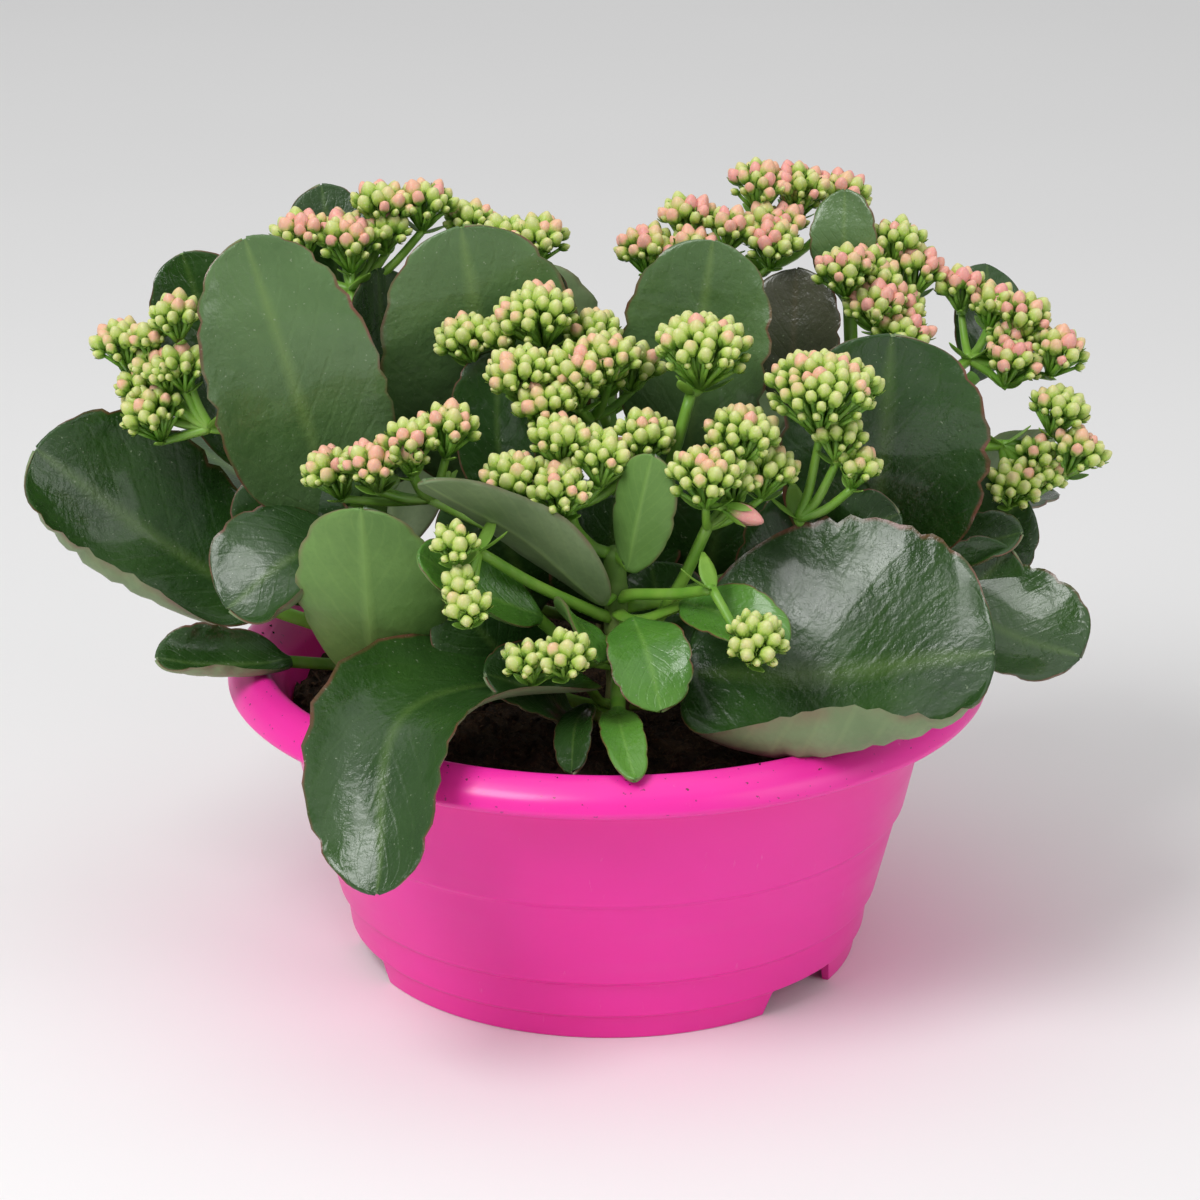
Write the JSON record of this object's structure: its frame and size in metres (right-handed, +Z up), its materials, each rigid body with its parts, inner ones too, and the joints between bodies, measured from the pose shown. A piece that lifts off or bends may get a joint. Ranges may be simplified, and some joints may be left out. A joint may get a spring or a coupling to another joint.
{
  "type": "potted kalanchoe in a bowl planter",
  "caption": "Round plastic bowl planter with a stepped wall, a rolled rim and a notched foot, filled with soil and leafy kalanchoe plants whose bud clusters rise above broad glossy leaves.",
  "frame": {"origin": "centre of the flat face under the bowl's central foot, on the ground below the bowl's axis", "axes": "+Z up along the bowl's axis; +X to the right and +Y to the back as seen from the front"},
  "size_m": [0.3495, 0.2863, 0.247],
  "materials": {
    "bowl": "satin, moulded",
    "soil": "loose fibrous potting soil",
    "stem_left": "satin living stem",
    "stem_back": "satin living stem",
    "stem_right": "satin living stem",
    "stem_front": "satin living stem",
    "leaf_far_left": "waxy green leaf, glossy above and matt below",
    "leaf_low_left": "waxy green leaf, glossy above and matt below",
    "leaf_tall_left": "waxy green leaf, glossy above and matt below",
    "leaf_dark_left": "waxy green leaf, glossy above and matt below",
    "leaf_mid_left": "waxy green leaf, glossy above and matt below",
    "leaf_glossy_left": "waxy green leaf, glossy above and matt below",
    "leaf_left_peak": "waxy green leaf, glossy above and matt below",
    "leaf_centre_left": "waxy green leaf, glossy above and matt below",
    "leaf_behind_left": "waxy green leaf, glossy above and matt below",
    "leaf_dark_upright": "waxy green leaf, glossy above and matt below",
    "leaf_centre_right": "waxy green leaf, glossy above and matt below",
    "leaf_bronze": "waxy green leaf, glossy above and matt below",
    "leaf_great_right": "waxy green leaf, glossy above and matt below",
    "leaf_top_right": "waxy green leaf, glossy above and matt below",
    "leaf_far_peak": "waxy green leaf, glossy above and matt below",
    "leaf_pale_right": "waxy green leaf, glossy above and matt below",
    "leaf_upper_right": "waxy green leaf, glossy above and matt below",
    "leaf_folded_right": "waxy green leaf, glossy above and matt below",
    "leaf_scalloped": "waxy green leaf, glossy above and matt below",
    "leaf_great_front": "waxy green leaf, glossy above and matt below",
    "leaf_arched_front": "waxy green leaf, glossy above and matt below",
    "leaf_lance_front": "waxy green leaf, glossy above and matt below",
    "leaf_upright_front": "waxy green leaf, glossy above and matt below",
    "leaf_nest_left": "waxy green leaf, glossy above and matt below",
    "leaf_nest_low": "waxy green leaf, glossy above and matt below",
    "leaf_bright_front": "waxy green leaf, glossy above and matt below",
    "leaf_rim_tongue": "waxy green leaf, glossy above and matt below",
    "leaf_rim_dark": "waxy green leaf, glossy above and matt below",
    "leaf_bright_right": "waxy green leaf, glossy above and matt below",
    "leaf_back_left": "waxy green leaf, glossy above and matt below",
    "leaf_back_right": "waxy green leaf, glossy above and matt below",
    "leaf_back_middle": "waxy green leaf, glossy above and matt below",
    "leaf_back_upright": "waxy green leaf, glossy above and matt below",
    "leaf_back_far_left": "waxy green leaf, glossy above and matt below",
    "leaf_back_far_right": "waxy green leaf, glossy above and matt below",
    "flowers_outer_left": "waxy yellow-green buds with pink tips",
    "flowers_high_left": "waxy yellow-green buds with pink tips",
    "flowers_high_middle": "waxy yellow-green buds with pink tips",
    "flowers_near_left": "waxy yellow-green buds with pink tips",
    "flowers_middle_back": "waxy yellow-green buds with pink tips",
    "flowers_middle": "waxy yellow-green buds with pink tips",
    "flowers_tall_stalk": "waxy yellow-green buds with pink tips",
    "flowers_middle_front": "waxy yellow-green buds with pink tips",
    "flowers_front_right": "waxy yellow-green buds with pink tips",
    "flowers_forked_stalk": "waxy yellow-green buds with pink tips",
    "flowers_back_crown": "waxy yellow-green buds with pink tips",
    "flowers_top_crown": "waxy yellow-green buds with pink tips",
    "flowers_right_crown": "waxy yellow-green buds with pink tips",
    "flowers_right_edge": "waxy yellow-green buds with pink tips",
    "flowers_right_low": "waxy yellow-green buds with pink tips",
    "flowers_nest_right": "waxy yellow-green buds with pink tips",
    "flowers_nest_front": "waxy yellow-green buds with pink tips",
    "flowers_nest_left": "waxy yellow-green buds with pink tips"
  },
  "bodies": {
    "root": {"bowl": "bowl", "soil": "soil", "stem_left": "stem_left", "stem_back": "stem_back", "stem_right": "stem_right", "stem_front": "stem_front", "leaf_far_left": "leaf_far_left", "leaf_low_left": "leaf_low_left", "leaf_tall_left": "leaf_tall_left", "leaf_dark_left": "leaf_dark_left", "leaf_mid_left": "leaf_mid_left", "leaf_glossy_left": "leaf_glossy_left", "leaf_left_peak": "leaf_left_peak", "leaf_centre_left": "leaf_centre_left", "leaf_behind_left": "leaf_behind_left", "leaf_dark_upright": "leaf_dark_upright", "leaf_centre_right": "leaf_centre_right", "leaf_bronze": "leaf_bronze", "leaf_great_right": "leaf_great_right", "leaf_top_right": "leaf_top_right", "leaf_far_peak": "leaf_far_peak", "leaf_pale_right": "leaf_pale_right", "leaf_upper_right": "leaf_upper_right", "leaf_folded_right": "leaf_folded_right", "leaf_scalloped": "leaf_scalloped", "leaf_great_front": "leaf_great_front", "leaf_arched_front": "leaf_arched_front", "leaf_lance_front": "leaf_lance_front", "leaf_upright_front": "leaf_upright_front", "leaf_nest_left": "leaf_nest_left", "leaf_nest_low": "leaf_nest_low", "leaf_bright_front": "leaf_bright_front", "leaf_rim_tongue": "leaf_rim_tongue", "leaf_rim_dark": "leaf_rim_dark", "leaf_bright_right": "leaf_bright_right", "leaf_back_left": "leaf_back_left", "leaf_back_right": "leaf_back_right", "leaf_back_middle": "leaf_back_middle", "leaf_back_upright": "leaf_back_upright", "leaf_back_far_left": "leaf_back_far_left", "leaf_back_far_right": "leaf_back_far_right", "flowers_outer_left": "flowers_outer_left", "flowers_high_left": "flowers_high_left", "flowers_high_middle": "flowers_high_middle", "flowers_near_left": "flowers_near_left", "flowers_middle_back": "flowers_middle_back", "flowers_middle": "flowers_middle", "flowers_tall_stalk": "flowers_tall_stalk", "flowers_middle_front": "flowers_middle_front", "flowers_front_right": "flowers_front_right", "flowers_forked_stalk": "flowers_forked_stalk", "flowers_back_crown": "flowers_back_crown", "flowers_top_crown": "flowers_top_crown", "flowers_right_crown": "flowers_right_crown", "flowers_right_edge": "flowers_right_edge", "flowers_right_low": "flowers_right_low", "flowers_nest_right": "flowers_nest_right", "flowers_nest_front": "flowers_nest_front", "flowers_nest_left": "flowers_nest_left"}
  },
  "joints": []
}
